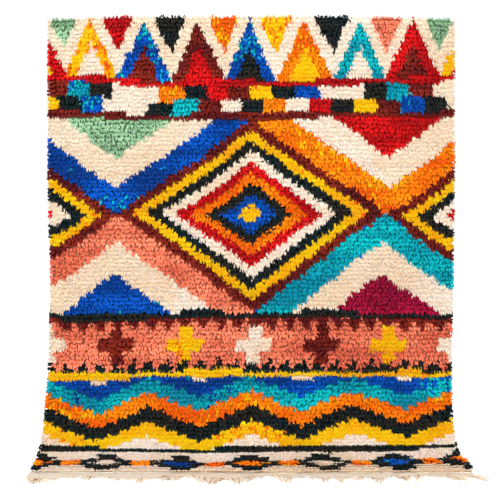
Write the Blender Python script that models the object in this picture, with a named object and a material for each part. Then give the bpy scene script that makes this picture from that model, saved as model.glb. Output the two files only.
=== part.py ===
"""A hand-knotted shag rug, hung by its top edge, whose lower end turns forward and lies on the floor.

Metres, +Z up. The rug's face looks along -Y. The origin is on the floor, under the middle of the
bounding box. The rug is one cloth: a ground weave with knotted wool pile on its face, modelled as a
lumpy slab with locks at its rim. Past the pile the bare warps are woven into a thin end web and
then run free as a fringe. That end is a solid of its own, parted from the rug by a hair.
"""

import math
import random

import bmesh
import bpy
from mathutils import Vector, noise

# The hang, seen from the side: straight down, then round two bends and out over the floor.
HUNG_HEIGHT = 1.716
BENDS = ((0.32, 35.0), (0.16, 55.0))  # radius, degrees turned
PILE_ON_FLOOR = 0.100

# The cloth's two sides, which wander as the weaver's hand did.
# Share of the length from the top, left edge, right edge.
SIDES = (
    (0.00, -0.792, 0.793),
    (0.35, -0.790, 0.792),
    (0.52, -0.781, 0.788),
    (0.68, -0.787, 0.782),
    (0.80, -0.799, 0.780),
    (0.90, -0.799, 0.778),
    (1.00, -0.788, 0.794),
)
HALF_WIDTH = 0.80
CORNER_DIP = 0.012  # the top edge sinks this far at its corners

# Slow waves across the rug: height, radians over half the width, phase.
TOP_WAVES = ((0.0015, 7.3, 2.6),)
LANDING_WAVES = ((0.0030, 4.1, 0.8), (0.0020, 9.7, 0.0))
LANDING_LEAD = 0.005  # keeps the landing's waves in front of the wall
LANDING_STARTS = 1.30  # metres down from the top edge

# The pile slab. Each layer is its own slice of the noise.
PILE_THICK = 0.0175
SWELL, SWELL_SIZE, SWELL_LAYER = 0.0050, 0.300, 1.7  # slow rise and fall of the face
LUMP, LUMP_SIZE, LUMP_LAYER = 0.0125, 0.065, 8.3  # groups of tufts that stand up or lie down
ROW_RIDGE = 0.0008
RIM_SHARE = 0.72  # how much of its thickness the pile keeps at the rim
COLUMNS, ROWS = 44, 60

# The locks round the rim, each pulled out of one face of the slab's side.
LOCK_LENGTHS = (0.007, 0.013)
LOCK_DROOPS = (0.003, 0.009)
LOCK_TIP = 0.45  # its tip, as a share of its root

# The end web and the fringe.
GAP = 0.0003
WEB_DEPTH, WEB_THICK = 0.050, 0.0028
WEB_LUMP, WEB_LUMP_SIZE, WEB_LAYER = 0.0012, 0.030, 4.1
WEB_COLUMNS, WEB_ROWS = 3 * COLUMNS, 2
STRAND_STEPS = 3
STRAND_NARROWS, STRAND_THINS = 0.78, 0.92  # at each step
STRAND_SHARES = (0.72, 1.08)  # how its length differs from its clump's
STRAND_STRAY = 0.004
# Clumps of warp ends that the weaver left: where each starts and ends along the web, as shares of
# its width from the left, how long its strands are, and how far their tips lean to the right.
CLUMPS = (
    (0.000, 0.070, 0.066, -0.006),
    (0.113, 0.148, 0.052, 0.010),
    (0.245, 0.276, 0.070, -0.012),
    (0.290, 0.352, 0.058, 0.008),
    (0.356, 0.440, 0.082, 0.004),
    (0.446, 0.512, 0.074, -0.010),
    (0.545, 0.590, 0.088, 0.012),
    (0.652, 0.676, 0.062, -0.008),
    (0.684, 0.708, 0.080, 0.006),
    (0.716, 0.740, 0.056, 0.012),
    (0.766, 0.797, 0.090, -0.010),
    (0.820, 0.857, 0.070, 0.008),
    (0.862, 0.884, 0.084, -0.014),
    (0.930, 0.975, 0.060, 0.016),
    (0.975, 1.000, 0.078, 0.046),
)

SEED = 11
SAME = 1e-6  # places on the grid that differ by less are one

PILE_COLOUR = (0.58, 0.34, 0.22, 1.0)
WEB_COLOUR = (0.83, 0.72, 0.58, 1.0)


def clear_scene():
    for obj in list(bpy.data.objects):
        bpy.data.objects.remove(obj, do_unlink=True)


def wool(name, colour):
    """A matt wool finish."""
    material = bpy.data.materials.new(name)
    material.use_nodes = True
    shader = material.node_tree.nodes["Principled BSDF"]
    shader.inputs["Base Color"].default_value = colour
    shader.inputs["Roughness"].default_value = 0.95
    shader.inputs["Metallic"].default_value = 0.0
    return material


def smooth(share):
    share = min(max(share, 0.0), 1.0)
    return share * share * (3 - 2 * share)


def waves(x, table):
    out = x / HALF_WIDTH
    return sum(height * math.sin(turns * out + phase) for height, turns, phase in table)


def uneven(x, run, size, layer):
    """Noise of about -0.5 to 0.5 over the cloth, with bumps of this size."""
    return noise.noise(Vector((x / size, run / size, layer)))


def bends_drop():
    """How far down the two bends take the cloth."""
    turned, drop = 0.0, 0.0
    for radius, degrees in BENDS:
        next_turned = turned + math.radians(degrees)
        drop += radius * (math.sin(next_turned) - math.sin(turned))
        turned = next_turned
    return drop


STRAIGHT_DROP = HUNG_HEIGHT - bends_drop()
LENGTH = STRAIGHT_DROP + sum(r * math.radians(a) for r, a in BENDS) + PILE_ON_FLOOR


def line_at(run):
    """The cloth's back, run metres from its top edge: how far forward, how high, angle turned."""
    straight = min(run, STRAIGHT_DROP)
    forward, height, turned = 0.0, HUNG_HEIGHT - straight, 0.0
    run -= straight
    for radius, degrees in BENDS:
        step = min(run / radius, math.radians(degrees))
        forward += radius * (math.cos(turned) - math.cos(turned + step))
        height -= radius * (math.sin(turned + step) - math.sin(turned))
        turned += step
        run -= step * radius
    return forward + run, height, turned


def sides_at(share):
    """The left and right edge at a share of the length, eased between the table's rows."""
    for (above, *edges), (below, *next_edges) in zip(SIDES, SIDES[1:]):
        if share <= below:
            ease = smooth((share - above) / (below - above))
            return [a + (b - a) * ease for a, b in zip(edges, next_edges)]
    return SIDES[-1][1:]


def across_at(u, share):
    """The place across the rug, from u = 0 at the left edge to 1 at the right one."""
    left, right = sides_at(share)
    return left + (right - left) * u


def top_dip(x):
    """How far the top edge lies under its usual height."""
    return CORNER_DIP * (x / HALF_WIDTH) ** 4 + waves(x, TOP_WAVES)


def landing_shift(x, run):
    """How much further forward the cloth lies than its side view says."""
    grown = smooth((run - LANDING_STARTS) / (LENGTH - LANDING_STARTS))
    return grown * (LANDING_LEAD + waves(x, LANDING_WAVES))


def place(x, run, lift):
    """A point of the cloth: x across, run down from the top edge, and lift in front of its back."""
    forward, height, turned = line_at(run)
    forward += lift * math.cos(turned) + landing_shift(x, run)
    height += lift * math.sin(turned)
    return Vector((x, -forward, height))


def heading(run):
    """The way the cloth runs there: down the wall, then forward over the floor."""
    turned = line_at(run)[2]
    return Vector((0, -math.sin(turned), -math.cos(turned)))


def pile_lift(x, run, row, at_rim):
    """The pile's thickness, with its slow swell, its tufts and the ridge of each row of knots."""
    swell = SWELL * uneven(x, run, SWELL_SIZE, SWELL_LAYER)
    lump = LUMP * uneven(x, run, LUMP_SIZE, LUMP_LAYER)
    ridge = ROW_RIDGE * (1 if row % 2 else -1)
    return (PILE_THICK + swell + lump + ridge) * (RIM_SHARE if at_rim else 1.0)


def two_sided_grid(columns, rows):
    """A closed flat slab. Returns its mesh, each point's place (u, v) on it, and its face's points."""
    mesh = bmesh.new()
    bmesh.ops.create_grid(mesh, x_segments=columns, y_segments=rows, size=0.5)
    raised = bmesh.ops.extrude_face_region(mesh, geom=list(mesh.faces))["geom"]
    face_points = {item for item in raised if isinstance(item, bmesh.types.BMVert)}
    spots = {point: (point.co.x + 0.5, 0.5 - point.co.y) for point in mesh.verts}
    return mesh, spots, face_points


def rim_faces(mesh, spots, axis, value):
    """The faces of the slab's side at u or v (axis 0 or 1) equal to value, in order along it.

    Blender lists the faces that an extrude makes in an order that changes from run to run, so they
    are sorted before each gets its own random length.
    """
    faces = [
        face
        for face in mesh.faces
        if all(abs(spots[point][axis] - value) < SAME for point in face.verts)
    ]
    return sorted(faces, key=lambda face: sum(spots[point][1 - axis] for point in face.verts))


def pull_lock(mesh, face, outward, droop, draw):
    """Pulls one rim face out into a lock that narrows to its tip."""
    pulled = bmesh.ops.extrude_discrete_faces(mesh, faces=[face])["faces"][0]
    middle = pulled.calc_center_median()
    move = outward * draw.uniform(*LOCK_LENGTHS) + droop * draw.uniform(*LOCK_DROOPS)
    for point in pulled.verts:
        point.co = middle + (point.co - middle) * LOCK_TIP + move


def join_back_columns(mesh, spots, face_points):
    """Joins the flat, hanging part of the back into one face for each row."""
    flat_share = LANDING_STARTS / LENGTH - 1 / ROWS
    upright = []
    for edge in mesh.edges:
        first, second = edge.verts
        if first in face_points or second in face_points:
            continue
        (u, v), (next_u, next_v) = spots[first], spots[second]
        inside = SAME < u < 1 - SAME
        if inside and abs(u - next_u) < SAME and max(v, next_v) < flat_share:
            upright.append(edge)
    bmesh.ops.dissolve_edges(mesh, edges=upright, use_verts=True)


def finish(name, mesh, material):
    bmesh.ops.recalc_face_normals(mesh, faces=list(mesh.faces))
    data = bpy.data.meshes.new(name)
    mesh.to_mesh(data)
    mesh.free()
    data.materials.append(material)
    data.shade_smooth()
    obj = bpy.data.objects.new(name, data)
    bpy.context.scene.collection.objects.link(obj)
    return obj


def make_rug():
    """The pile and its ground weave as one lumpy slab, with locks at its sides and its top edge."""
    draw = random.Random(SEED)
    mesh, spots, face_points = two_sided_grid(COLUMNS, ROWS)
    runs = {}
    for point, (u, v) in spots.items():
        x = across_at(u, v)
        dip = top_dip(x)
        run = runs[point] = dip + v * (LENGTH - dip)
        at_rim = not (0 < round(u * COLUMNS) < COLUMNS and 0 < round(v * ROWS))
        lift = pile_lift(x, run, round(v * ROWS), at_rim) if point in face_points else 0.0
        point.co = place(x, run, lift)
    edges = (
        (rim_faces(mesh, spots, 0, 0.0), Vector((-1, 0, 0))),
        (rim_faces(mesh, spots, 0, 1.0), Vector((1, 0, 0))),
        (rim_faces(mesh, spots, 1, 0.0), Vector((0, 0, 1))),
    )
    join_back_columns(mesh, spots, face_points)
    for faces, outward in edges:
        for face in faces:
            run = sum(runs[point] for point in face.verts) / len(face.verts)
            droop = Vector((0, -1, 0)) if outward.z else heading(run)
            pull_lock(mesh, face, outward, droop, draw)
    return finish("rug", mesh, wool("knotted_wool", PILE_COLOUR))


def clump_at(u):
    """The clump that a warp at u belongs to: its strands' length and lean, or None on a bare edge."""
    for start, end, length, lean in CLUMPS:
        if start <= u <= end:
            return length, lean
    return None


def grow_strand(mesh, face, length, lean, draw):
    """Draws one strand out of the web's edge along the floor, narrower at each step."""
    length *= draw.uniform(*STRAND_SHARES)
    lean += draw.uniform(-STRAND_STRAY, STRAND_STRAY)
    for step in range(STRAND_STEPS):
        face = bmesh.ops.extrude_discrete_faces(mesh, faces=[face])["faces"][0]
        middle = face.calc_center_median()
        bend = (2 * step + 1) / STRAND_STEPS**2  # it leans most near its tip
        for point in face.verts:
            point.co.x = middle.x + (point.co.x - middle.x) * STRAND_NARROWS + lean * bend
            point.co.y -= length / STRAND_STEPS
            point.co.z *= STRAND_THINS


def make_end_fringe():
    """The bare woven end of the warps past the pile, and the clumps that they end in."""
    draw = random.Random(SEED + 1)
    mesh, spots, face_points = two_sided_grid(WEB_COLUMNS, WEB_ROWS)
    for point, (u, v) in spots.items():
        x = across_at(u, 1.0)
        ahead = GAP + v * WEB_DEPTH
        lump = WEB_LUMP * uneven(x, ahead, WEB_LUMP_SIZE, WEB_LAYER)
        rise = WEB_THICK + lump if point in face_points else 0.0
        point.co = Vector((x, place(x, LENGTH, 0.0).y - ahead, rise))
    for face in rim_faces(mesh, spots, 1, 1.0):
        clump = clump_at(sum(spots[point][0] for point in face.verts) / len(face.verts))
        if clump:
            grow_strand(mesh, face, *clump, draw)
    return finish("end_fringe", mesh, wool("bare_warp_wool", WEB_COLOUR))


def centre_over_origin(objects):
    """Moves the rug so that the middle of its box is over the origin."""
    points = [point.co for obj in objects for point in obj.data.vertices]
    middle_x = (min(p.x for p in points) + max(p.x for p in points)) / 2
    middle_y = (min(p.y for p in points) + max(p.y for p in points)) / 2
    for obj in objects:
        obj.location = (-middle_x, -middle_y, 0)


clear_scene()
centre_over_origin([make_rug(), make_end_fringe()])
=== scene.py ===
# %% [markdown]
# # A hand-knotted shag rug
# The real rug is one cloth made on an upright loom. Warps run its whole length. A row of short wool
# ends is knotted round them, a few shoots of weft are beaten down on it, and the next row follows.
# It hangs here by its top edge, and its lower end turns forward and lies on the floor.
# The pieces are the ground weave, the pile (one piece for each colour of wool), the flat-woven end
# of the warps past the pile, and the warp ends that hang out of it as a fringe.

# %% Load the frame
import math
import random

import bmesh
import bpy
import numpy as np
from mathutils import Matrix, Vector, noise


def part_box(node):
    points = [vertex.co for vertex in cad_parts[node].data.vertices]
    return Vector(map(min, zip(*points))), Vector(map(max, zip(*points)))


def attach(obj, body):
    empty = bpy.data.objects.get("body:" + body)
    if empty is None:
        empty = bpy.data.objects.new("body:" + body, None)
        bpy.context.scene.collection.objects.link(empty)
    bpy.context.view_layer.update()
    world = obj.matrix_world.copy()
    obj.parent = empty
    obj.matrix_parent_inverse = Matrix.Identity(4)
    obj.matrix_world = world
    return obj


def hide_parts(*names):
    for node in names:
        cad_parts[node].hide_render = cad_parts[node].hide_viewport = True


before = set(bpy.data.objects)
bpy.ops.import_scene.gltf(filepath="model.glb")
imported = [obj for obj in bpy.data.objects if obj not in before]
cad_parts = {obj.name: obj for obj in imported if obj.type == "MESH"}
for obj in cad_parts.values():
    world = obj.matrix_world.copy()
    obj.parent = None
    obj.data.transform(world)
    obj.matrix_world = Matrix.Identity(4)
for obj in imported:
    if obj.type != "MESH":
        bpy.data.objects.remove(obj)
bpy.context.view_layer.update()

# %% [markdown]
# ## The line on which the cloth hangs
# Every piece lies on one surface: the back of the cloth. Seen from the side it falls straight down,
# turns forward round a slack bend and a tighter one, and runs out over the floor. A point of the
# rug is given by its place across (x), its way down from the top edge (run), and its lift in front
# of the back. The functions take whole arrays, because the pile has tens of thousands of ends.

# %% The hang
HUNG_HEIGHT = 1.716
BENDS = ((0.32, 35.0), (0.16, 55.0))  # radius, degrees turned
PILE_ON_FLOOR = 0.100
HALF_WIDTH = 0.80
CORNER_DIP = 0.012
TOP_WAVES = ((0.0015, 7.3, 2.6),)  # height, radians over half the width, phase
LANDING_WAVES = ((0.0030, 4.1, 0.8), (0.0020, 9.7, 0.0))
RISES = ((0.0110, 2.6, -0.9), (0.0050, 8.3, 0.5))  # as the waves, but only upwards
RISE_STARTS, RISE_CLIMB, RISE_FALL = 0.25, 0.20, 0.09  # metres before the floor, and its two slopes
LANDING_LEAD, LANDING_STARTS = 0.027, 1.30  # how far forward it lands, and from what run that grows

# Share of the length from the top, left edge, right edge
SIDES = (
    (0.00, -0.792, 0.793),
    (0.35, -0.790, 0.792),
    (0.52, -0.781, 0.788),
    (0.68, -0.787, 0.782),
    (0.80, -0.799, 0.780),
    (0.90, -0.799, 0.778),
    (1.00, -0.788, 0.794),
)


def bends_drop():
    """How far down the two bends take the cloth."""
    turned, drop = 0.0, 0.0
    for radius, degrees in BENDS:
        next_turned = turned + math.radians(degrees)
        drop += radius * (math.sin(next_turned) - math.sin(turned))
        turned = next_turned
    return drop


STRAIGHT_DROP = HUNG_HEIGHT - bends_drop()
FLOOR_RUN = STRAIGHT_DROP + sum(r * math.radians(a) for r, a in BENDS)
LENGTH = FLOOR_RUN + PILE_ON_FLOOR

wall_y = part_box("rug")[1].y
rug_back = [v.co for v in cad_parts["rug"].data.vertices if wall_y - v.co.y < 1e-4]
rug_top = [p.x for p in rug_back if p.z > HUNG_HEIGHT - 2 * CORNER_DIP]
middle_x = (min(rug_top) + max(rug_top)) / 2 - (SIDES[0][1] + SIDES[0][2]) / 2
print(f"cloth of {LENGTH:.3f} m; wall plane at y {wall_y:.4f}; middle at x {middle_x:.4f}")


def smooth(share):
    share = np.clip(share, 0.0, 1.0)
    return share * share * (3 - 2 * share)


def waves(x, table):
    return sum(height * np.sin(turns * x / HALF_WIDTH + phase) for height, turns, phase in table)


def hang_line(run):
    """How far forward and how high the back is, run metres down, and the angle it has turned."""
    straight = np.minimum(run, STRAIGHT_DROP)
    forward, height, turned = 0.0, HUNG_HEIGHT - straight, 0.0
    left = run - straight
    for radius, degrees in BENDS:
        step = np.minimum(left / radius, math.radians(degrees))
        forward = forward + radius * (np.cos(turned) - np.cos(turned + step))
        height = height - radius * (np.sin(turned + step) - np.sin(turned))
        turned = turned + step
        left = left - step * radius
    return forward + left, height, turned


def off_line(x, run):
    """How far the cloth stands off the hanging line near the floor, where it never lands quite flat."""
    climb = smooth((run - FLOOR_RUN + RISE_STARTS) / RISE_CLIMB)
    fall = smooth((LENGTH - run) / RISE_FALL)
    crests = (h * (0.5 + 0.5 * np.sin(turns * x / HALF_WIDTH + phase)) for h, turns, phase in RISES)
    return climb * fall * sum(crests)


def on_cloth(x, run, lift):
    """Points of the cloth as x, y and z, and the angle that it has turned there."""
    forward, height, turned = hang_line(run)
    grown = smooth((run - LANDING_STARTS) / (LENGTH - LANDING_STARTS))
    landing = grown * (LANDING_LEAD + waves(x, LANDING_WAVES))
    lift = lift + off_line(x, run)
    forward = forward + lift * np.cos(turned) + landing
    height = height + lift * np.sin(turned)
    return np.stack([x + middle_x, wall_y - forward, height], axis=-1), turned


def across_and_down(u, v):
    """The place on the cloth of a point given by its shares across (u) and down (v)."""
    shares, lefts, rights = (np.array(column) for column in zip(*SIDES))
    row = np.clip(np.searchsorted(shares, v, side="left") - 1, 0, len(shares) - 2)
    ease = smooth((v - shares[row]) / (shares[row + 1] - shares[row]))
    left = lefts[row] + (lefts[row + 1] - lefts[row]) * ease
    right = rights[row] + (rights[row + 1] - rights[row]) * ease
    x = left + (right - left) * u
    dip = CORNER_DIP * (x / HALF_WIDTH) ** 4 + waves(x, TOP_WAVES)
    return x, dip + v * (LENGTH - dip)


# %% [markdown]
# ## The wool
# The weaver used up what dyed wool there was, so every colour drifts: each has a main shade and one
# that it slides towards. A colour is written as it looks on a screen and turned into linear light,
# which is what the shaders work in.

# %% Yarn colours
# Yarn, its main shade, the shade that it drifts to, and its root light, the light painted into the depths of
# its ends. A pale wool, and yellow counts as one, lets light through, so its root light goes above 1 and
# paints a glow there. The others get painted shade there, and the darkest the most.
YARNS = {
    "cream": ("F1D7C7", "EACBB5", 1.42),
    "ecru": ("ECD0BA", "E4C3A7", 1.40),
    "black": ("0E2024", "24201A", 0.12),
    "cobalt": ("0558BA", "03337A", 0.45),
    "yellow": ("F3BB0A", "E99503", 1.32),
    "orange": ("F58D0A", "E35103", 0.58),
    "salmon": ("EF8B6A", "C95C44", 0.44),
    "scarlet": ("CE1417", "9C0C11", 0.45),
    "maroon": ("7D271A", "501319", 0.28),
    "teal": ("05B1B6", "057B97", 0.44),
    "mint": ("99BE99", "739875", 0.34),
    "magenta": ("A91540", "7F0C31", 0.40),
}
YARN_NAMES = list(YARNS)
PALE_LIGHT = 0.8  # a wool whose painted root light is above this is pale


def linear(code):
    """Linear red, green and blue of a colour written as six hexadecimal digits."""
    parts = [int(code[start : start + 2], 16) / 255 for start in (0, 2, 4)]
    return [((p + 0.055) / 1.055) ** 2.4 if p > 0.04045 else p / 12.92 for p in parts]


# %% [markdown]
# ## The pattern
# A knotted pattern is a chart: one colour for each knot. Rugs of this family are built up in bands
# of old, common motifs: tall peaks, blocks, nested lozenges, crosses, zigzags and stepped lozenges.
# Each band below is a small function of the place in it, so the pattern has no picture behind it.
# The lines wander, and each row is knotted a little to one side, which gives the edges their teeth.

# %% Motifs
# Sizes in metres, shares of a motif's size, and counts
PEAK_BASE, PEAK_CORE, GAP_CORE = 0.212, 0.42, 0.45
BLOCK_WIDTH = 0.090
LOZENGE_HALF_WIDTH, RING_SHARE = 0.53, 0.112
STRIPE_TO, FIELD_TO = 1.28, 1.60  # where the stripe round the lozenges and its cream field end
CROSS_PITCH, CROSS_ARM, CROSS_HALF = 0.265, 0.070, 0.025
TOOTH_WIDE, TOOTH_TALL = 0.066, 0.050
ZIGZAG_PERIOD, ZIGZAG_SWING, ZIGZAG_STRIPES = 0.400, 0.080, 5
STEP_PITCH, STEP, STEP_SLOPE, STEP_CORE, STEP_EDGE = 0.265, 0.0331, 1.15, 0.042, 0.098


def pick(colours, index):
    return colours[int(index) % len(colours)]


def peaks(x, down, tall):
    """Tall peaks that stand on the band's foot, each with a smaller one inside it."""
    cell = math.floor(x / PEAK_BASE + 0.5)
    out = 2 * abs(x / PEAK_BASE - cell)
    inside = 1 - out - (1 - down / tall)
    if inside > PEAK_CORE:
        return pick(("black", "cream", "scarlet", "yellow", "maroon"), 3 * cell)
    if inside > 0:
        return pick(("cobalt", "orange", "teal", "scarlet", "yellow", "cobalt", "maroon"), cell)
    if -inside > GAP_CORE:
        gap = math.floor(x / PEAK_BASE)
        return pick(("yellow", "black", "salmon", "mint", "scarlet", "black", "orange"), gap)
    return "cream"


def blocks(x, down, tall):
    """Two courses of blocks, set like bricks."""
    course = int(2 * down / tall)
    cell = math.floor(x / BLOCK_WIDTH + 0.5 * course)
    if (cell + course) % 2:
        return pick(("black", "cream", "black", "maroon"), cell // 2)
    return pick(("yellow", "cream", "cobalt", "orange", "cream", "scarlet", "teal"), cell + 2 * course)


def lozenges(x, down, tall):
    """Nested lozenges side by side, with stacked corners between them."""
    rings = ("maroon", "yellow", "black", "cream", "scarlet", "orange", "black", "cobalt", "yellow")
    near = 2 * LOZENGE_HALF_WIDTH * round(x / (2 * LOZENGE_HALF_WIDTH))
    metric = abs(x - near) / LOZENGE_HALF_WIDTH + abs(2 * down / tall - 1)
    corner = 2 * (down > tall / 2) + (x > 0)
    if metric < 1:
        return rings[min(int((1 - metric) / RING_SHARE), len(rings) - 1)]
    if metric < STRIPE_TO:
        return pick(("cobalt", "orange", "salmon", "teal"), corner)
    if metric < FIELD_TO:
        return "cream"
    return pick(("mint", "scarlet", "cobalt", "magenta"), corner)


def crosses(x, down, tall):
    """Crosses on a salmon ground between two rows of teeth."""
    cell = math.floor(x / CROSS_PITCH + 0.5)
    aside, away = abs(x - cell * CROSS_PITCH), abs(down - tall / 2)
    if max(aside, away) < CROSS_ARM and min(aside, away) < CROSS_HALF:
        return pick(("cream", "maroon", "yellow"), cell)
    if tall / 2 - away < TOOTH_TALL * abs(2 * (x / TOOTH_WIDE % 1) - 1):
        return "maroon" if down < tall / 2 else "black"
    return "salmon"


def zigzags(x, down, tall):
    """Stripes that run up and down in step."""
    swing = ZIGZAG_SWING * abs(2 * (x / ZIGZAG_PERIOD % 1) - 1)
    stripe = (down + swing - ZIGZAG_SWING) / (tall / ZIGZAG_STRIPES) + 1
    return pick(("cream", "cobalt", "teal", "orange", "black", "yellow", "cream", "scarlet"), stripe + 1)


def stepped(x, down, tall):
    """Stepped lozenges with an orange block between each two."""
    cell = math.floor(x / STEP_PITCH + 0.5)
    aside, away = abs(x - cell * STEP_PITCH), abs(down - tall / 2)
    reach = STEP * math.floor(aside / STEP) + STEP_SLOPE * away
    if reach < STEP_CORE:
        return pick(("orange", "cream", "cobalt"), cell)
    if reach < STEP_EDGE:
        return "black"
    if aside > STEP_PITCH / 2 - STEP and away < STEP:
        return "orange"
    return "cream"


# Depth of each band from the top, and what is in it
BANDS = (
    (0.232, peaks),
    (0.024, "scarlet"),
    (0.110, blocks),
    (0.024, "maroon"),
    (0.760, lozenges),
    (0.026, "black"),
    (0.210, crosses),
    (0.024, "yellow"),
    (0.280, zigzags),
    (0.026, "black"),
    (0.197, stepped),
)


def motif_at(x, run):
    for depth, motif in BANDS:
        if run < depth:
            break
        run -= depth
    run = min(max(run, 0.0), depth)
    return motif if isinstance(motif, str) else motif(x, run, depth)


# %% The chart
ROWS, KNOTS = 116, 200
WANDER, WANDER_SIZE = 0.022, 0.34  # how far the lines wander, and over what distance
SIDESTEP = 0.006  # how far a row is knotted to one side
FLEECE_SIZE, FLEECE_TURN = 0.45, 0.02  # patches of the two undyed wools, and where one turns to the other
# What is knotted in now and then in a colour's place
STRAYS = {"yellow": "orange", "orange": "yellow", "cobalt": "teal", "teal": "cobalt"}
STRAY_PATCH, STRAY_TURN = 0.26, 0.25  # patches with many strays, and the noise at which one starts
STRAY_SHARE, STRAY_EVERYWHERE = 0.22, 0.004  # share of strays in such a patch, and all over


def uneven(x, run, size, layer):
    """Noise of about -0.5 to 0.5 over the cloth, with bumps of this size. Each use has its own layer."""
    return noise.noise(Vector((x / size, run / size, layer)))


def draw_chart():
    """The yarn of each knot, as a number for each row and place in it."""
    draw = random.Random(5)
    chart = np.zeros((ROWS, KNOTS), int)
    u, v = np.meshgrid((np.arange(KNOTS) + 0.5) / KNOTS, (np.arange(ROWS) + 0.5) / ROWS)
    across, down = across_and_down(u, v)
    for row in range(ROWS):
        sidestep = draw.uniform(-SIDESTEP, SIDESTEP)
        for knot in range(KNOTS):
            x, run = across[row, knot], down[row, knot]
            aside = x + sidestep + WANDER * uneven(x, run, WANDER_SIZE, 3.1)
            below = run + WANDER * uneven(x, run, WANDER_SIZE, 6.4)
            yarn = motif_at(aside, below)
            if yarn == "cream" and uneven(x, run, FLEECE_SIZE, 9.2) > FLEECE_TURN:
                yarn = "ecru"
            chance = STRAY_SHARE * (uneven(x, run, STRAY_PATCH, 12.5) > STRAY_TURN) + STRAY_EVERYWHERE
            if draw.random() < chance:
                yarn = STRAYS.get(yarn, yarn)
            chart[row, knot] = YARN_NAMES.index(yarn)
    return chart


chart = draw_chart()
shares = np.bincount(chart.ravel(), minlength=len(YARN_NAMES)) / chart.size
print("share of each yarn:", {n: round(float(s), 3) for n, s in zip(YARN_NAMES, shares)})

# %% [markdown]
# ## Finishes
# Two effects are shared, so each is a node group. `spun_yarn` paints a yarn: its tint, its fibres
# with a little white painted sheen on them, its twist, and painted light in its depths: painted
# shade towards the root, which turns to a painted glow where a pale wool's root light is above 1,
# with a tint as if light had been through the wool and taken on its own colour. `hand_weave` draws
# shoots of weft over warps, with rows of knot loops between them on the back of the pile, and
# paints shade into the lower parts of that relief. Both work on a UV map that runs along the
# yarns or the cloth, so the pattern bends with it.

# %% Node helpers
MAP = "OFBake"  # the map that follows the yarn, which the export keeps
TINTS = 48  # tints of one colour of wool, side by side on the yarn's map
WHITE = (1, 1, 1, 1)


def new_group(name, inputs, outputs):
    """A shader node group with these sockets: name, kind and first value."""
    group = bpy.data.node_groups.new(name, "ShaderNodeTree")
    for label, kind, value in inputs:
        socket = group.interface.new_socket(label, in_out="INPUT", socket_type=kind)
        if value is not None:
            socket.default_value = value
    for label, kind in outputs:
        group.interface.new_socket(label, in_out="OUTPUT", socket_type=kind)
    return group, group.nodes.new("NodeGroupInput").outputs, group.nodes.new("NodeGroupOutput").inputs


def feed(tree, socket, value):
    """Links another node's output to a socket, or sets the socket to a plain value."""
    if isinstance(value, bpy.types.NodeSocket):
        tree.links.new(value, socket)
    else:
        socket.default_value = value


def calc(tree, operation, *values, clamp=False):
    node = tree.nodes.new("ShaderNodeMath")
    node.operation, node.use_clamp = operation, clamp
    for socket, value in zip(node.inputs, values):
        feed(tree, socket, value)
    return node.outputs[0]


def vector_of(tree, x, y, z=0.0):
    node = tree.nodes.new("ShaderNodeCombineXYZ")
    for socket, value in zip(node.inputs, (x, y, z)):
        feed(tree, socket, value)
    return node.outputs[0]


def mixed(tree, share, first, second, blend="MIX"):
    """Two colours mixed or multiplied. No part of the result goes past 1."""
    node = tree.nodes.new("ShaderNodeMix")
    node.data_type, node.blend_type, node.clamp_result = "RGBA", blend, True
    for socket, value in zip((node.inputs[0], node.inputs[6], node.inputs[7]), (share, first, second)):
        feed(tree, socket, value)
    return node.outputs[2]


def ramped(tree, value, low, high, bottom=0.0, top=1.0):
    """A smooth climb from bottom to top as the value goes from low to high."""
    node = tree.nodes.new("ShaderNodeMapRange")
    node.interpolation_type = "SMOOTHSTEP"
    labels = ("Value", "From Min", "From Max", "To Min", "To Max")
    for label, given in zip(labels, (value, low, high, bottom, top)):
        feed(tree, node.inputs[label], given)
    return node.outputs["Result"]


def fibre_noise(tree, vector, detail=2.0):
    node = tree.nodes.new("ShaderNodeTexNoise")
    node.inputs["Scale"].default_value = 1.0
    node.inputs["Detail"].default_value = detail
    feed(tree, node.inputs["Vector"], vector)
    return node.outputs[0]


def map_noise(tree, u, v, across, down, detail=2.0):
    """Noise with this many bumps across the map and down it."""
    place = vector_of(tree, calc(tree, "MULTIPLY", u, across), calc(tree, "MULTIPLY", v, down))
    return fibre_noise(tree, place, detail)


def map_parts(tree, vector):
    node = tree.nodes.new("ShaderNodeSeparateXYZ")
    feed(tree, node.inputs[0], vector)
    return node.outputs[0], node.outputs[1]


# %% Spun yarn
FINISH_OUTPUTS = [
    ("Color", "NodeSocketColor"),
    ("Roughness", "NodeSocketFloat"),
    ("Height", "NodeSocketFloat"),
]
PAINTED_SHEEN_SHARE = 0.035  # how much white, a painted sheen, shows where the fibres stand up most
TINT_SPREAD, TINT_CALM = 0.56, 0.40  # how far tints differ in light, and how much less if pale
ROOT_FADE = 0.5  # share of a yarn's length over which the painted light in its depths fades out
DRIFT_LUCK = 0.3  # how far a tint's drift is down to luck
STREAKS_ROUND, STREAKS_ALONG = 7.0, 3.0  # fibre streaks round a yarn and along it
FIBRE_LIGHT, FIBRE_LOW = 0.30, 0.86  # how much lighter fibres that stand up are, and the lowest ones
PLIES = 2  # strands that are twisted together


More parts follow.
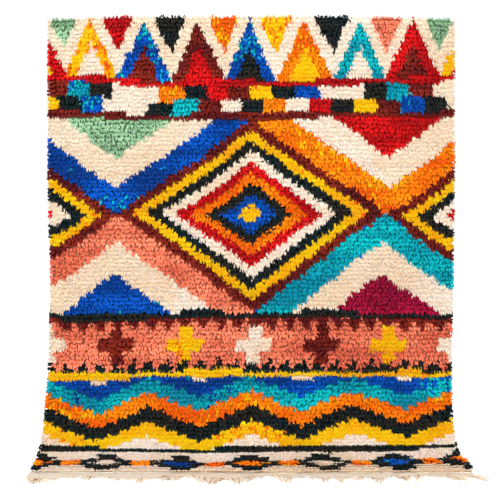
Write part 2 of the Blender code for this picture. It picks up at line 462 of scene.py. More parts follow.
def make_spun_yarn():
    """On a yarn's map, u holds its tint and runs round it, and v runs from its root to its tip."""
    tree, given, result = new_group(
        "spun_yarn",
        [("Map", "NodeSocketVector", None), ("Wool", "NodeSocketColor", None),
         ("Drift", "NodeSocketColor", None), ("Twist", "NodeSocketFloat", 1.5),
         ("Root Light", "NodeSocketFloat", 0.3), ("Depths", "NodeSocketColor", WHITE)],
        FINISH_OUTPUTS,
    )
    u, along = map_parts(tree, given["Map"])
    place = calc(tree, "MULTIPLY", u, float(TINTS))
    tint = calc(tree, "FLOOR", place)
    around = calc(tree, "FRACT", place)
    luck_node = tree.nodes.new("ShaderNodeTexWhiteNoise")
    luck_node.noise_dimensions = "1D"
    feed(tree, luck_node.inputs["W"], tint)
    luck = luck_node.outputs["Value"]
    drift = calc(tree, "MULTIPLY_ADD", luck, DRIFT_LUCK, calc(tree, "DIVIDE", tint, float(TINTS)))
    drift = calc(tree, "SUBTRACT", drift, DRIFT_LUCK / 2, clamp=True)
    colour = mixed(tree, drift, given["Wool"], given["Drift"])
    round_it = calc(tree, "MULTIPLY", place, STREAKS_ROUND)
    fibres = fibre_noise(tree, vector_of(tree, round_it, calc(tree, "MULTIPLY", along, STREAKS_ALONG), tint))
    # Painted sheen: white mixed into the colour where the fibre noise is high.
    colour = mixed(tree, ramped(tree, fibres, 0.5, 0.8, 0.0, PAINTED_SHEEN_SHARE), colour, WHITE)
    spread = calc(tree, "MULTIPLY_ADD", given["Root Light"], -TINT_CALM, TINT_SPREAD)
    light = calc(tree, "MULTIPLY_ADD", calc(tree, "SUBTRACT", luck, 0.45), spread, 1.0)
    light = calc(tree, "MULTIPLY", light, calc(tree, "MULTIPLY_ADD", fibres, FIBRE_LIGHT, FIBRE_LOW))
    # Painted shade at the root, and a painted glow where Root Light is above 1, fading out along the yarn.
    light = calc(tree, "MULTIPLY", light, ramped(tree, along, 0.0, ROOT_FADE, given["Root Light"], 1.0))
    # Painted tint of the depths: warm in pale wool, the dye's own colour in dyed wool.
    painted_depth_tint = mixed(tree, ramped(tree, along, 0.1, 0.1 + ROOT_FADE), given["Depths"], WHITE)
    colour = mixed(tree, 1.0, colour, painted_depth_tint, "MULTIPLY")
    feed(tree, result["Color"], mixed(tree, 1.0, colour, vector_of(tree, light, light, light), "MULTIPLY"))
    feed(tree, result["Roughness"], calc(tree, "MULTIPLY_ADD", fibres, 0.16, 0.80))
    turn = calc(tree, "MULTIPLY_ADD", along, given["Twist"], around)
    ply = calc(tree, "SINE", calc(tree, "MULTIPLY", turn, 2 * math.pi * PLIES))
    feed(tree, result["Height"], calc(tree, "MULTIPLY_ADD", ply, 0.35, fibres))
    return tree


# %% Hand weave
def make_hand_weave():
    """Shoots of weft over warps, with rows of knot loops between them where Knot Rows isn't 0."""
    tree, given, result = new_group(
        "hand_weave",
        [("Map", "NodeSocketVector", None), ("Knots", "NodeSocketColor", None),
         ("Weft", "NodeSocketColor", None), ("Warps", "NodeSocketFloat", 320.0),
         ("Shoots", "NodeSocketFloat", 36.0), ("Knot Rows", "NodeSocketFloat", 0.0)],
        FINISH_OUTPUTS,
    )
    u, v = map_parts(tree, given["Map"])
    warp = calc(tree, "MULTIPLY", calc(tree, "MULTIPLY", u, given["Warps"]), math.pi)
    shoot = calc(tree, "MULTIPLY", v, given["Shoots"])
    turn = calc(tree, "MULTIPLY_ADD", calc(tree, "FLOOR", shoot), math.pi, warp)
    rib = calc(tree, "ABSOLUTE", calc(tree, "SINE", calc(tree, "MULTIPLY", shoot, math.pi)))
    weft = calc(tree, "MULTIPLY_ADD", calc(tree, "SINE", turn), 0.2, calc(tree, "MULTIPLY", rib, 0.35))
    wander = map_noise(tree, u, v, 60.0, 90.0)
    in_row = calc(tree, "MULTIPLY_ADD", v, given["Knot Rows"], calc(tree, "MULTIPLY", wander, 0.5))
    beside = calc(tree, "ABSOLUTE", calc(tree, "SUBTRACT", calc(tree, "FRACT", in_row), 0.75))
    beside = calc(tree, "MINIMUM", beside, calc(tree, "SUBTRACT", 1.0, beside))
    knot_row = ramped(tree, beside, 0.24, 0.32, 1.0, 0.0)
    loop = calc(tree, "MULTIPLY_ADD", calc(tree, "ABSOLUTE", calc(tree, "SINE", warp)), 0.6, 0.3)
    height = calc(tree, "MULTIPLY_ADD", knot_row, loop, weft)
    wool = map_noise(tree, u, v, 700.0, 420.0, detail=3.0)
    colour = mixed(tree, knot_row, given["Weft"], given["Knots"])
    # Painted shade of the relief: the higher parts of the weave are coloured lighter, the lower darker.
    light = calc(tree, "MULTIPLY_ADD", height, 0.32, 0.76)
    light = calc(tree, "MULTIPLY", light, calc(tree, "MULTIPLY_ADD", wool, 0.5, 0.75))
    wear = map_noise(tree, u, v, 34.0, 20.0, detail=3.0)
    light = calc(tree, "MULTIPLY", light, calc(tree, "MULTIPLY_ADD", wear, 0.50, 0.76))
    feed(tree, result["Color"], mixed(tree, 1.0, colour, vector_of(tree, light, light, light), "MULTIPLY"))
    feed(tree, result["Roughness"], calc(tree, "MULTIPLY_ADD", wool, 0.15, 0.80))
    feed(tree, result["Height"], calc(tree, "MULTIPLY_ADD", wool, 0.3, height))
    return tree


SPUN_YARN = make_spun_yarn()
HAND_WEAVE = make_hand_weave()
KNOT_RELIEF, WEB_RELIEF, YARN_RELIEF = 0.0022, 0.0016, 0.0007  # how far the finishes stand out


def wool_material(name, group, relief, fuzz, values):
    """Matt wool with fuzz of this colour round one of the groups, and the node that holds it."""
    material = bpy.data.materials.new(name)
    material.use_nodes = True
    tree = material.node_tree
    shader = tree.nodes["Principled BSDF"]
    shader.inputs["Specular IOR Level"].default_value = 0.04
    shader.inputs["Sheen Weight"].default_value = 0.04
    shader.inputs["Sheen Roughness"].default_value = 0.6
    shader.inputs["Sheen Tint"].default_value = fuzz
    effect = tree.nodes.new("ShaderNodeGroup")
    effect.node_tree = group
    for label, value in values.items():
        effect.inputs[label].default_value = value
    place = tree.nodes.new("ShaderNodeUVMap")
    place.uv_map = MAP
    tree.links.new(place.outputs["UV"], effect.inputs["Map"])
    tree.links.new(effect.outputs["Color"], shader.inputs["Base Color"])
    tree.links.new(effect.outputs["Roughness"], shader.inputs["Roughness"])
    bump = tree.nodes.new("ShaderNodeBump")
    bump.inputs["Strength"].default_value = 0.7
    bump.inputs["Distance"].default_value = relief
    tree.links.new(effect.outputs["Height"], bump.inputs["Height"])
    tree.links.new(bump.outputs["Normal"], shader.inputs["Normal"])
    return material, effect


# %% [markdown]
# ## The ground weave
# The ground is the cloth itself: warps and wefts about 3 mm thick, with the knots' loops showing
# through on the back. It is one closed slab, made from a grid with one face for each knot,
# extruded once and then laid on the hang line. The chart colours its faces, so its back shows the
# pattern in reverse, as a real one does, between the shoots of undyed weft. On the other side the
# feet of the pile hide the weft, so there it takes the knots' colour too, with the painted shade of
# the wool's depths in it, which in pale wool is a painted glow.

# %% A closed slab with a map
def two_sided_grid(columns, rows):
    """A closed flat slab of unit size. The back has the map's lower half, the face the upper one."""
    mesh = bmesh.new()
    bmesh.ops.create_grid(mesh, x_segments=columns, y_segments=rows, size=0.5)
    raised = bmesh.ops.extrude_face_region(mesh, geom=list(mesh.faces))["geom"]
    bmesh.ops.translate(mesh, verts=[g for g in raised if isinstance(g, bmesh.types.BMVert)], vec=(0, 0, 1))
    bmesh.ops.recalc_face_normals(mesh, faces=mesh.faces)
    layer = mesh.loops.layers.uv.new(MAP)
    for face in mesh.faces:
        upper = face.calc_center_median().z > 0.25
        for corner in face.loops:
            across, down = corner.vert.co.x + 0.5, 0.5 - corner.vert.co.y
            corner[layer].uv = (across, (down + upper) / 2)
    return mesh


def show(data, name):
    """Puts a finished mesh in the scene as a piece."""
    piece = bpy.data.objects.new(name, data)
    bpy.context.scene.collection.objects.link(piece)
    data.shade_smooth()
    return piece


def mesh_data(mesh, name):
    data = bpy.data.meshes.new(name)
    mesh.to_mesh(data)
    mesh.free()
    return data


def mesh_points(data):
    points = np.empty(len(data.vertices) * 3, np.float32)
    data.vertices.foreach_get("co", points)
    return points.reshape(-1, 3).astype(float)


def set_points(data, points):
    data.vertices.foreach_set("co", np.ascontiguousarray(points, np.float32).ravel())
    data.update()


# %% Colour and lay it
GROUND_THICK = 0.003
WEFT_WOOL = "DCCBAE"


def face_maps(data):
    """The middle of each face on the map, and how many corners each has."""
    corners = np.empty(len(data.loops) * 2, np.float32)
    starts = np.empty(len(data.polygons), np.int32)
    data.uv_layers[MAP].uv.foreach_get("vector", corners)
    data.polygons.foreach_get("loop_start", starts)
    counts = np.diff(np.append(starts, len(data.loops)))
    return np.add.reduceat(corners.reshape(-1, 2), starts) / counts[:, None], counts


def colour_by_chart(data):
    """Gives each face the colour of its knot. On the face side that colour carries the painted light of the
    wool's depths: painted shade at the pile's feet, and a painted glow, capped at 1, for pale wool.
    """
    middle, counts = face_maps(data)
    on_face = middle[:, 1] > 0.5
    knot = np.clip((middle[:, 0] * KNOTS).astype(int), 0, KNOTS - 1)
    row = np.clip((middle[:, 1] * 2 % 1 * ROWS).astype(int), 0, ROWS - 1)
    palette = np.array([[*linear(wool), 1.0] for wool, _, _ in YARNS.values()])
    root_light = np.array([light for _, _, light in YARNS.values()])[chart[row, knot]]
    # Painted shade on the face side: the knot colour scaled by its wool's root light.
    colours = np.minimum(palette[chart[row, knot]] * np.where(on_face, root_light, 1.0)[:, None], 1.0)
    layer = data.color_attributes.new("knot_colour", "FLOAT_COLOR", "CORNER")
    layer.data.foreach_set("color", np.repeat(colours, counts, axis=0).astype(np.float32).ravel())
    data.polygons.foreach_set("material_index", on_face.astype(np.int32))


def ground_material(name, weft_shows):
    values = {
        "Weft": [*linear(WEFT_WOOL), 1],
        "Warps": 2.0 * KNOTS,
        "Shoots": 6.0 * ROWS,
        "Knot Rows": 2.0 * ROWS,
    }
    material, effect = wool_material(name, HAND_WEAVE, KNOT_RELIEF, values["Weft"], values)
    knots = material.node_tree.nodes.new("ShaderNodeAttribute")
    knots.attribute_name = "knot_colour"
    material.node_tree.links.new(knots.outputs["Color"], effect.inputs["Knots"])
    # On the face side the weft takes that painted-shade colour too.
    if not weft_shows:
        material.node_tree.links.new(knots.outputs["Color"], effect.inputs["Weft"])
    return material


def weave_ground():
    data = mesh_data(two_sided_grid(KNOTS, ROWS), "ground_weave")
    flat = mesh_points(data)
    x, run = across_and_down(flat[:, 0] + 0.5, 0.5 - flat[:, 1])
    set_points(data, on_cloth(x, run, flat[:, 2] * GROUND_THICK)[0])
    data.materials.append(ground_material("ground_wool", True))
    data.materials.append(ground_material("pile_feet", False))
    colour_by_chart(data)
    return show(data, "ground_weave")


ground_weave = weave_ground()
print("ground weave:", len(ground_weave.data.polygons), "faces")

# %% [markdown]
# ## One yarn, repeated
# A wool end and a warp end are both a short closed yarn. Its shape is rolled from a small grid: the
# grid's two sides meet and merge, and its two ends draw together to points. Arrays then bend a copy
# of it along each yarn's own path, so tens of thousands of yarns are made at once.

# %% Roll a yarn and lay many
def rolled_yarn(sides, steps):
    """A straight closed yarn of unit girth: x and y go round it, z from 0 at its root to 1."""
    mesh = bmesh.new()
    bmesh.ops.create_grid(mesh, x_segments=sides, y_segments=steps, size=0.5)
    layer = mesh.loops.layers.uv.new(MAP)
    for face in mesh.faces:
        for corner in face.loops:
            corner[layer].uv = (corner.vert.co.x + 0.5, corner.vert.co.y + 0.5)
    for point in mesh.verts:
        around, along = 2 * math.pi * point.co.x, point.co.y + 0.5
        girth = 1.0 if 0.001 < along < 0.999 else 0.0
        point.co = (girth * math.cos(around), girth * math.sin(around), along)
    bmesh.ops.remove_doubles(mesh, verts=mesh.verts, dist=0.0001)
    bmesh.ops.recalc_face_normals(mesh, faces=mesh.faces)
    return mesh_data(mesh, "yarn_shape")


def lay_yarns(name, shape, centres, wides, thicks, tints):
    """One mesh of many yarns. The first three arrays hold, for each yarn and step, the middle of
    the yarn and half its width in two directions; tints holds a number below TINTS for each yarn."""
    points = mesh_points(shape)
    step = np.rint(points[:, 2] * (centres.shape[1] - 1)).astype(int)
    place = centres[:, step] + points[:, 0, None] * wides[:, step] + points[:, 1, None] * thicks[:, step]
    corner_points = np.empty(len(shape.loops), np.int32)
    corner_maps = np.empty(len(shape.loops) * 2, np.float32)
    face_starts = np.empty(len(shape.polygons), np.int32)
    shape.loops.foreach_get("vertex_index", corner_points)
    shape.uv_layers[MAP].uv.foreach_get("vector", corner_maps)
    shape.polygons.foreach_get("loop_start", face_starts)
    yarn = np.arange(len(centres))[:, None]
    loop_points = yarn * len(points) + corner_points
    loop_starts = yarn * len(corner_points) + face_starts
    maps = np.broadcast_to(corner_maps.reshape(-1, 2), (len(centres), len(corner_points), 2)).copy()
    maps[..., 0] = (tints[:, None] + 0.1 + 0.8 * maps[..., 0]) / TINTS
    data = bpy.data.meshes.new(name)
    data.vertices.add(place.shape[0] * place.shape[1])
    data.loops.add(maps.shape[0] * maps.shape[1])
    data.polygons.add(len(centres) * len(face_starts))
    data.vertices.foreach_set("co", place.astype(np.float32).ravel())
    data.loops.foreach_set("vertex_index", loop_points.astype(np.int32).ravel())
    data.polygons.foreach_set("loop_start", loop_starts.astype(np.int32).ravel())
    data.uv_layers.new(name=MAP).uv.foreach_set("vector", maps.astype(np.float32).ravel())
    data.update(calc_edges=True)
    data.validate()
    return show(data, name)


PALE_DEPTHS = (1.0, 0.84, 0.66, 1.0)  # painted tint of pale wool's depths, warm as if light had passed through it
PALE_GLOW = 0.75  # share of the light on pale wool that goes into it
LIGHT_REACH = (0.006, 0.005, 0.004)  # how far red, green and blue light travel in pale wool
DYE_DEPTH = 0.8  # how strongly the painted depths of dyed wool take the dye's own colour
DARK_DYE = 0.1  # dyes darker than this get no tint in their painted depths


def deep_shade(wool):
    """The tint painted into dyed wool's depths, as if light had been through it: the dye's own colour."""
    own = linear(wool)
    if max(own) < DARK_DYE:
        return WHITE
    return [*((part / max(own)) ** DYE_DEPTH for part in own), 1]


def yarn_material(name, wool, drift, root_light, twist=1.5):
    pale = root_light > PALE_LIGHT
    values = {
        "Wool": [*linear(wool), 1],
        "Drift": [*linear(drift), 1],
        "Depths": PALE_DEPTHS if pale else deep_shade(wool),
        "Root Light": root_light,
        "Twist": twist,
    }
    material, _ = wool_material(name, SPUN_YARN, YARN_RELIEF, values["Wool"], values)
    shader = material.node_tree.nodes["Principled BSDF"]
    shader.inputs["Subsurface Weight"].default_value = PALE_GLOW if pale else 0.0
    shader.inputs["Subsurface Radius"].default_value = LIGHT_REACH
    shader.inputs["Subsurface Scale"].default_value = 1.0
    return material


# %% [markdown]
# ## The pile
# A knot leaves two wool ends on the face. Each comes out of the ground, turns down and hangs over
# the row below, so the rows lie like shingles and a dark line shows under each. Ends lean in
# clumps, and those at the edge of the rug splay out over it. Pale wool is softer, so its ends are
# finer and lie in smoother rows. Each colour of wool is a piece.

# %% How the ends lie
END_SIDES, END_WIDE, END_THICK, GIRTH_SPREAD = 4, 0.0058, 0.0048, 0.14
OFF_KNOT, OFF_ROW = 0.16, 0.24  # how far a root is off its place, as a share of a knot and a row
CREST_OFF, RIM_OFF = (-0.4, 0.0), (-0.35, 0.35)  # and how much further along the rug's rim
ROOTED = 0.7  # share of the ground's thickness at which the ends are rooted
ROW_WAVER, ROW_WAVER_SIZE = 0.0060, 0.12  # rows aren't quite straight
CLUMP_LEAN, CLUMP_SIZE = 0.6, 0.045  # radians of lean, distance over which ends lean alike
END_LEAN = 0.45  # radians by which each end leans on its own
# How far out of the cloth and down it an end's bend and its tip are: the middle, and the spread
BEND_OUT, TIP_OUT = (0.0091, 0.0011), (0.0116, 0.0012)
BEND_DOWN, TIP_DOWN = (0.0030, 0.0012), (0.0150, 0.0020)
END_SWAY, ROUND_TIP = 0.0014, 0.0026  # metres aside at the tip, and how far the rounded tip goes on
END_FALL = (0.0, 48.0, 92.0, 92.0)  # degrees that an end has turned down at each step
REACH, REACH_SPREAD = 0.99, 0.23  # how long the ends hang, as a share of TIP_DOWN
CLUMP_RISE, SWELL_RISE, SWELL_SIZE = 0.50, 0.30, 0.30  # how unevenly the ends stand out, and how widely
RISE_LUCK = (0.84, 1.16)  # and by what share luck changes that for each end
LAST_ROW_REACH = (0.55, 1.2)  # the last row has none below to lie on, so its ends vary more
EDGE_SPLAY, EDGE_KNOTS, EDGE_TRIM = 0.55, 4.0, 0.30  # radians, knots, share cut off at the edge
RIM_ENDS, RIM_REACH = 5, 0.60  # ends at each end of a row that fill out the selvedge, and their reach
PALE_GIRTH, PALE_EASE = 0.78, 0.32  # pale wool is softer and finer, so it lies smoother
ABRASH_ACROSS, ABRASH_DOWN = 0.70, 0.045  # a dyed batch lasts a few rows
WORN_SIZE = 0.16  # and parts of the pile have faded or been trodden
ABRASH_TINT, WORN_TINT, END_TINT = 1.1, 0.9, 0.12  # how far these and luck shift an end's tint

noise_of = np.vectorize(uneven, otypes=[float])
IS_PALE = np.array([root_light > PALE_LIGHT for _, _, root_light in YARNS.values()])


def knot_places(luck):
    """Row, knot and shares across and down of each wool end, and which way round it points: down
    for most, up for those along the top edge, and out sideways for those at the selvedges."""
    places = np.meshgrid(np.arange(ROWS), np.arange(KNOTS), (-1, 1), indexing="ij")
    row, knot, side = (numbers.ravel() for numbers in places)
    crest, rim = np.arange(2 * KNOTS), np.arange(2 * RIM_ENDS * ROWS)
    rim_side = 2 * (rim % 2) - 1
    count = len(row)
    point = np.concatenate([0.0 * row, 0.0 * crest + math.pi, 0.5 * math.pi * rim_side])
    row = np.concatenate([row, 0 * crest, rim // (2 * RIM_ENDS)])
    knot = np.concatenate([knot, crest // 2, (KNOTS - 1) * (rim % 2)])
    side = np.concatenate([side, 2 * (crest % 2) - 1, rim_side])
    u = (knot + 0.5 + 0.25 * side + luck.uniform(-OFF_KNOT, OFF_KNOT, len(row))) / KNOTS
    v = row + 0.5 + luck.uniform(-OFF_ROW, OFF_ROW, len(row))
    above, beside = luck.uniform(*CREST_OFF, len(v) - count), luck.uniform(*RIM_OFF, len(v) - count)
    v[count:] += np.where(row[count:] == 0, above, beside)
    return row, knot, u, v / ROWS, point


def pile_roots(luck):
    """Each wool end's yarn, place across and down, turn sideways, reach out and reach down."""
    row, knot, u, v, point = knot_places(luck)
    count, extra = len(row), point != 0
    x, run = across_and_down(u, v)
    run = run + ROW_WAVER * noise_of(x, run, ROW_WAVER_SIZE, 21.0)
    clump = noise_of(x, run, CLUMP_SIZE, 31.0)
    near_edge = np.clip(1 - np.minimum(knot, KNOTS - 1 - knot) / EDGE_KNOTS, 0, 1)
    pale = IS_PALE[chart[row, knot]]
    ease = np.where(pale, PALE_EASE, 1.0)
    yaw = ease * ((1 - near_edge) * CLUMP_LEAN * clump + END_LEAN * luck.normal(0, 1, count))
    yaw = yaw + EDGE_SPLAY * near_edge * np.sign(knot - KNOTS / 2)
    yaw = np.where(extra, point + luck.uniform(-1, 1, count), yaw)
    uneven_rise = CLUMP_RISE * noise_of(x, run, CLUMP_SIZE, 41.0)
    uneven_rise = uneven_rise + SWELL_RISE * noise_of(x, run, SWELL_SIZE, 1.7)
    uneven_rise = (1 + uneven_rise) * luck.uniform(*RISE_LUCK, count) - 1
    rise = 1 + uneven_rise * ease
    reach = REACH + ease * luck.uniform(-REACH_SPREAD, REACH_SPREAD, count)
    reach = reach * np.where(extra, RIM_REACH, 1 - EDGE_TRIM * near_edge)
    reach = reach * np.where(row == ROWS - 1, luck.uniform(*LAST_ROW_REACH, count), 1.0)
    return chart[row, knot], x, run, yaw, rise, reach


def end_paths(luck, yaw, rise, reach, pale):
    """The ends' steps and half widths, as (across, out, down) from each root."""
    count = len(yaw)
    ease = np.where(pale, PALE_EASE, 1.0)

    def about(middle, spread):
        return middle + ease * luck.uniform(-spread, spread, count)

    lean = ease * luck.normal(0, END_SWAY, count)
    out = np.stack([0 * yaw, about(*BEND_OUT), about(*TIP_OUT)], 1)
    down = np.stack([0 * yaw, about(*BEND_DOWN), about(*TIP_DOWN)], 1)
    across = np.stack([0 * yaw, lean / 3, lean], 1)
    steps = np.stack([across, out * rise[:, None], down * reach[:, None]], -1)
    tip = steps[:, 2:] + np.stack([0.2 * lean, 0 * lean - 0.0005, ROUND_TIP * reach], -1)[:, None]
    steps = np.concatenate([steps, tip], 1)
    fall = np.radians(np.array(END_FALL))
    girth = (about(1.0, GIRTH_SPREAD) * np.where(pale, PALE_GIRTH, 1.0))[:, None]
    wides = np.stack([girth * END_WIDE / 2 * np.ones(4), 0 * girth * fall, 0 * girth * fall], -1)
    half = girth * END_THICK / 2
    thicks = np.stack([0 * half * fall, half * np.sin(fall), -half * np.cos(fall)], -1)
    return [turned_sideways(part, yaw) for part in (steps, wides, thicks)]


def turned_sideways(parts, yaw):
    """Turns (across, out, down) parts about the way out of the cloth."""
    cos, sin = np.cos(yaw)[:, None], np.sin(yaw)[:, None]
    across, out, down = parts[..., 0], parts[..., 1], parts[..., 2]
    return np.stack([across * cos + down * sin, out, down * cos - across * sin], -1)


def out_of_cloth(parts, turned):
    """From (across, out, down) on the cloth to x, y and z, where the cloth has turned so far."""
    cos, sin = np.cos(turned)[:, None], np.sin(turned)[:, None]
    across, out, down = parts[..., 0], parts[..., 1], parts[..., 2]
    return np.stack([across, -out * cos - down * sin, out * sin - down * cos], -1)


# %% Knot it
def knot_pile():
    luck = np.random.default_rng(11)
    yarns, x, run, yaw, rise, reach = pile_roots(luck)
    roots, turned = on_cloth(x, run, ROOTED * GROUND_THICK)
    parts = end_paths(luck, yaw, rise, reach, IS_PALE[yarns])
    steps, wides, thicks = (out_of_cloth(part, turned) for part in parts)
    steps = steps + roots[:, None]
    batch = noise_of(x * ABRASH_DOWN / ABRASH_ACROSS, run, ABRASH_DOWN, 51.0)
    batch = ABRASH_TINT * batch + WORN_TINT * noise_of(x, run, WORN_SIZE, 57.0)
    tints = np.clip(TINTS * (0.5 + batch + luck.normal(0, END_TINT, len(x))), 0, TINTS - 1).astype(int)
    shape = rolled_yarn(END_SIDES, 3)
    pieces = []
    for number, name in enumerate(YARN_NAMES):
        mine = yarns == number
        piece = lay_yarns(f"{name}_pile", shape, steps[mine], wides[mine], thicks[mine], tints[mine])
        piece.data.materials.append(yarn_material(f"{name}_wool", *YARNS[name]))
        pieces.append(piece)
        print(f"{piece.name}: {mine.sum()} ends, {2 * END_SIDES * 2 * mine.sum()} triangles")
    bpy.data.meshes.remove(shape)
    return pieces


pile = knot_pile()

# %% [markdown]
# ## The end web
# Past the last row of knots the weaver beats in plain weft for a few centimetres, so that the pile
# can't slide off. Some of that weft has slid off the warps since, so the edge comes and goes. Here
# it is a thin closed strip of bare wool that ripples a little on the floor.

# %% Weave the web
GAP = 0.0003  # metres between the ground weave and the web, which are two parts
WEB_DEPTH, WEB_THICK, WEB_THINS = 0.060, 0.0028, 0.3  # the last: how much thinner its edge is
RIPPLE, RIPPLE_SIZE = 0.0130, 0.075  # how high the web's ripples stand, and how long they are
RIPPLE_DRAWN = 0.4  # they change this much slower outwards than across
# The weft has slid off the warps here and there: height, size and noise layer of the edge's waves
EDGE_WAVES = ((0.0500, 0.17, 66.0), (0.0150, 0.04, 77.0))
EDGE_SLANT = 0.010  # how much deeper the web is at its left end than in the middle
WEB_COLUMNS, WEB_ROWS, WEB_SHOOTS = 320, 8, 17
BARE_WOOL, FRINGE_WOOL, FRINGE_DRIFT = "E0D3C1", "EFDFC8", "96683B"


def web_edge(x):
    """How far out the web reaches past the pile."""
    wave = sum(height * noise_of(x, 0 * x, size, layer) for height, size, layer in EDGE_WAVES)
    return WEB_DEPTH + wave - EDGE_SLANT * x / HALF_WIDTH


def ripple(x, share):
    """How high the web's underside stands off the floor, at this share of its depth."""
    return np.abs(noise_of(x, RIPPLE_DRAWN * WEB_DEPTH * share, RIPPLE_SIZE, 61.0)) * RIPPLE


def weave_web():
    data = mesh_data(two_sided_grid(WEB_COLUMNS, WEB_ROWS), "end_web")
    flat = mesh_points(data)
    share = 0.5 - flat[:, 1]
    x, _ = across_and_down(flat[:, 0] + 0.5, np.ones(len(flat)))
    lift = ripple(x, share) + flat[:, 2] * WEB_THICK * (1 - WEB_THINS * share ** 4)
    set_points(data, on_cloth(x, LENGTH + GAP + web_edge(x) * share, lift)[0])
    values = {"Knots": [*linear(BARE_WOOL), 1], "Weft": [*linear(BARE_WOOL), 1],
              "Warps": 2.0 * KNOTS, "Shoots": 2.0 * WEB_SHOOTS}
    data.materials.append(wool_material("bare_weave", HAND_WEAVE, WEB_RELIEF, values["Weft"], values)[0])
    return show(data, "end_web")


end_web = weave_web()
print("end web:", len(end_web.data.polygons), "faces")

# %% [markdown]
# ## The fringe
# The warps are cut past the web, and their ends gather in uneven clumps on the floor. Between the
# clumps some are worn to stubs. Each end is a twisted yarn on a wandering path of its own.

# %% Lay the warp ends
FRINGE_SIDES, FRINGE_STEPS = 6, 9
FRINGE_GIRTH, GIRTH_LUCK, TAPER = 0.0021, (0.8, 1.15), 0.35  # half its width, luck, how much its tip thins
WEB_HOLD, BLUNT_FROM = 0.2, 0.96  # a warp end's share in the web, and where its blunt tip closes
ENDS_TO_A_METRE, STUBS = 240, 150
FRINGE_LOFT = 0.0080  # how high the fringe stands up between its root and its tip
FLAT_BELOW, WARP_DULL = 0.05, 0.45  # ends shorter than this stand less; how far their tints spread
FRINGE_LIMIT = 0.150  # as far as any end reaches past the pile
CUT, STUB_CUT = (0.62, 1.0), (0.006, 0.026)  # share of a clump's length kept; metres of a stub
GATHER = (0.3, 0.9)  # how far the ends of a clump are drawn to its middle
STRAY_ASIDE, SWING_SHARE = 0.003, 0.10  # how far tips stray, and how far a path swings for its length
# Where each clump starts and ends as a share across, how long it is, and how far its tip leans right
CLUMPS = (
    (0.000, 0.070, 0.059, -0.006),
    (0.113, 0.148, 0.047, 0.010),
    (0.245, 0.276, 0.063, -0.012),
    (0.290, 0.352, 0.052, 0.008),
    (0.356, 0.440, 0.074, 0.004),
    (0.446, 0.512, 0.066, -0.010),
    (0.545, 0.590, 0.078, 0.012),
    (0.652, 0.676, 0.056, -0.008),
    (0.684, 0.708, 0.072, 0.006),
    (0.716, 0.740, 0.050, 0.012),
    (0.766, 0.797, 0.081, -0.010),
    (0.820, 0.857, 0.063, 0.008),
    (0.862, 0.884, 0.075, -0.014),
    (0.930, 0.975, 0.054, 0.016),
    (0.975, 1.000, 0.069, 0.046),
)


def warp_ends(luck):
    """For each warp end: its share across, its length, and how far its tip goes sideways."""
    ends = []
    for start, finish, length, lean in CLUMPS:
        count = max(4, round((finish - start) * 2 * HALF_WIDTH * ENDS_TO_A_METRE))
        middle = (start + finish) / 2
        for number in range(count):
            u = start + (finish - start) * (number + luck.uniform(0.2, 0.8)) / count
            pull = (middle - u) * 2 * HALF_WIDTH * luck.uniform(*GATHER)
            ends.append((u, length * luck.uniform(*CUT), lean + pull + luck.normal(0, STRAY_ASIDE)))
    for _ in range(STUBS):
        ends.append((luck.uniform(0.005, 0.995), luck.uniform(*STUB_CUT), luck.normal(0, STRAY_ASIDE)))
    return (np.array(column) for column in zip(*ends))


def lay_fringe():
    luck = np.random.default_rng(23)
    u, length, aside = warp_ends(luck)
    count, along = len(u), np.append(np.linspace(-WEB_HOLD, BLUNT_FROM, FRINGE_STEPS), 1.0)
    out = np.clip(along, 0, 1)
    x, _ = across_and_down(u, np.ones_like(u))
    length = np.minimum(length, FRINGE_LIMIT - web_edge(x))
    phase = luck.uniform(0, 6.3, (count, 1))
    swing = luck.uniform(0.3, 1.0, (count, 1)) * length[:, None] * SWING_SHARE
    sideways = aside[:, None] * out ** 1.4 + swing * np.sin(5 * along + phase) * out
    layer = luck.uniform(0, 1, (count, 1))
    girth = FRINGE_GIRTH * luck.uniform(*GIRTH_LUCK, (count, 1)) * (1 - TAPER * out ** 3)
    loft = FRINGE_LOFT * layer * np.sin(math.pi * out) * np.minimum(1, length / FLAT_BELOW)[:, None]
    lift = girth + loft + ripple(x, np.ones(count))[:, None] * (1 - out)
    run = LENGTH + GAP + web_edge(x)[:, None] + along * length[:, None]
    centres, _ = on_cloth(x[:, None] + sideways, run, lift)
    travel = np.gradient(centres, axis=1)
    travel = travel / np.linalg.norm(travel, axis=2, keepdims=True)
    wides = np.cross(np.array([0.0, 0.0, 1.0]), travel)
    wides = wides / np.linalg.norm(wides, axis=2, keepdims=True)
    thicks = np.cross(travel, wides)
    tints = np.clip(TINTS * np.abs(luck.normal(0, WARP_DULL, count)), 0, TINTS - 1).astype(int)
    shape = rolled_yarn(FRINGE_SIDES, FRINGE_STEPS)
    half_widths = (wides * girth[..., None], thicks * girth[..., None])
    fringe = lay_yarns("warp_fringe", shape, centres, *half_widths, tints)
    fringe.data.materials.append(yarn_material("bare_warp", FRINGE_WOOL, FRINGE_DRIFT, 0.9, twist=7.0))
    bpy.data.meshes.remove(shape)
    return fringe


warp_fringe = lay_fringe()
print("warp fringe:", len(warp_fringe.data.polygons), "faces")

# %% [markdown]
# ## What each piece stands for
# The ground and the pile take the place of the plain slab, and the web and the fringe that of the
# plain end strip. All of them ride on the one body.

# %% Bodies
for piece in (ground_weave, *pile):
    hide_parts("rug")
    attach(piece, "root")
for piece in (end_web, warp_fringe):
    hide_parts("end_fringe")
    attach(piece, "root")

# %% [markdown]
# ## The studio
# The rug was photographed square on, in flat soft light, before white. A pale floor, a white world,
# two big soft lamps in front and one behind give that. The camera stands level, straight in front.

# %% Floor, lights and camera
CAMERA_HEIGHT, CAMERA_DISTANCE, CAMERA_ASIDE, CAMERA_LENS = 0.803, 3.50, -0.004, 64.0
ROOM_LIGHT, SEEN_ROOM_LIGHT, SEEN_FLOOR_GLOW = 0.9, 1.1, 0.7


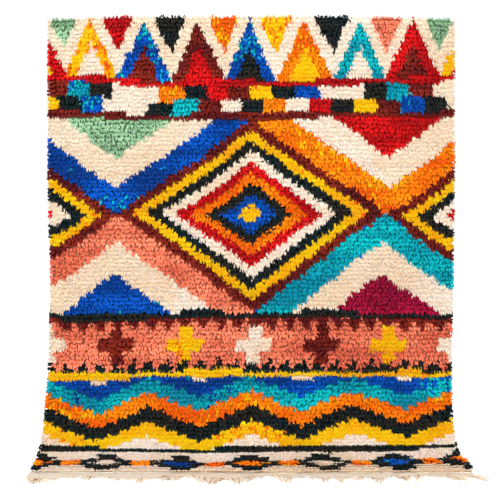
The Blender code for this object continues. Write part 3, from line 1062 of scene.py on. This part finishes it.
def studio_floor():
    mesh = bmesh.new()
    bmesh.ops.create_grid(mesh, x_segments=1, y_segments=1, size=12.0)
    floor = show(mesh_data(mesh, "studio_floor"), "studio_floor")
    material = bpy.data.materials.new("studio_paper")
    material.use_nodes = True
    shader = material.node_tree.nodes["Principled BSDF"]
    shader.inputs["Base Color"].default_value = (0.6, 0.6, 0.6, 1)
    shader.inputs["Roughness"].default_value = 0.9
    shader.inputs["Emission Color"].default_value = (1, 1, 1, 1)
    seen = material.node_tree.nodes.new("ShaderNodeLightPath").outputs["Is Camera Ray"]
    glow = calc(material.node_tree, "MULTIPLY", seen, SEEN_FLOOR_GLOW)
    material.node_tree.links.new(glow, shader.inputs["Emission Strength"])
    floor.data.materials.append(material)
    return floor


def soft_lamp(name, place, aim, size, power):
    light = bpy.data.lights.new(name, "AREA")
    light.shape, light.size, light.energy = "DISK", size, power
    lamp = bpy.data.objects.new(name, light)
    lamp.location = place
    lamp.rotation_euler = (Vector(aim) - Vector(place)).to_track_quat("-Z", "Y").to_euler()
    bpy.context.scene.collection.objects.link(lamp)


studio_floor()
soft_lamp("lamp_front", (0.2, -4.3, 1.3), (0, 0.1, 0.9), 1.2, 75)
soft_lamp("lamp_above", (-0.6, -3.2, 3.2), (0, 0.1, 0.9), 3.0, 150)
soft_lamp("lamp_behind", (0.8, 4.2, 2.2), (0, 0.2, 0.9), 2.4, 40)
world = bpy.data.worlds.new("white_studio")
world.use_nodes = True
sky = world.node_tree
sky.nodes["Background"].inputs["Color"].default_value = (1, 1, 1, 1)
seen = sky.nodes.new("ShaderNodeLightPath").outputs["Is Camera Ray"]
sky.links.new(
    calc(sky, "MULTIPLY_ADD", seen, SEEN_ROOM_LIGHT - ROOM_LIGHT, ROOM_LIGHT),
    sky.nodes["Background"].inputs["Strength"],
)
bpy.context.scene.world = world
bpy.context.scene.view_settings.view_transform = "Standard"

camera = bpy.data.objects.new("camera", bpy.data.cameras.new("camera"))
camera.data.lens, camera.data.sensor_width = CAMERA_LENS, 36.0
camera.location = (middle_x + CAMERA_ASIDE, wall_y - CAMERA_DISTANCE, CAMERA_HEIGHT)
camera.rotation_euler = (math.radians(90), 0, 0)
bpy.context.scene.collection.objects.link(camera)
bpy.context.scene.camera = camera
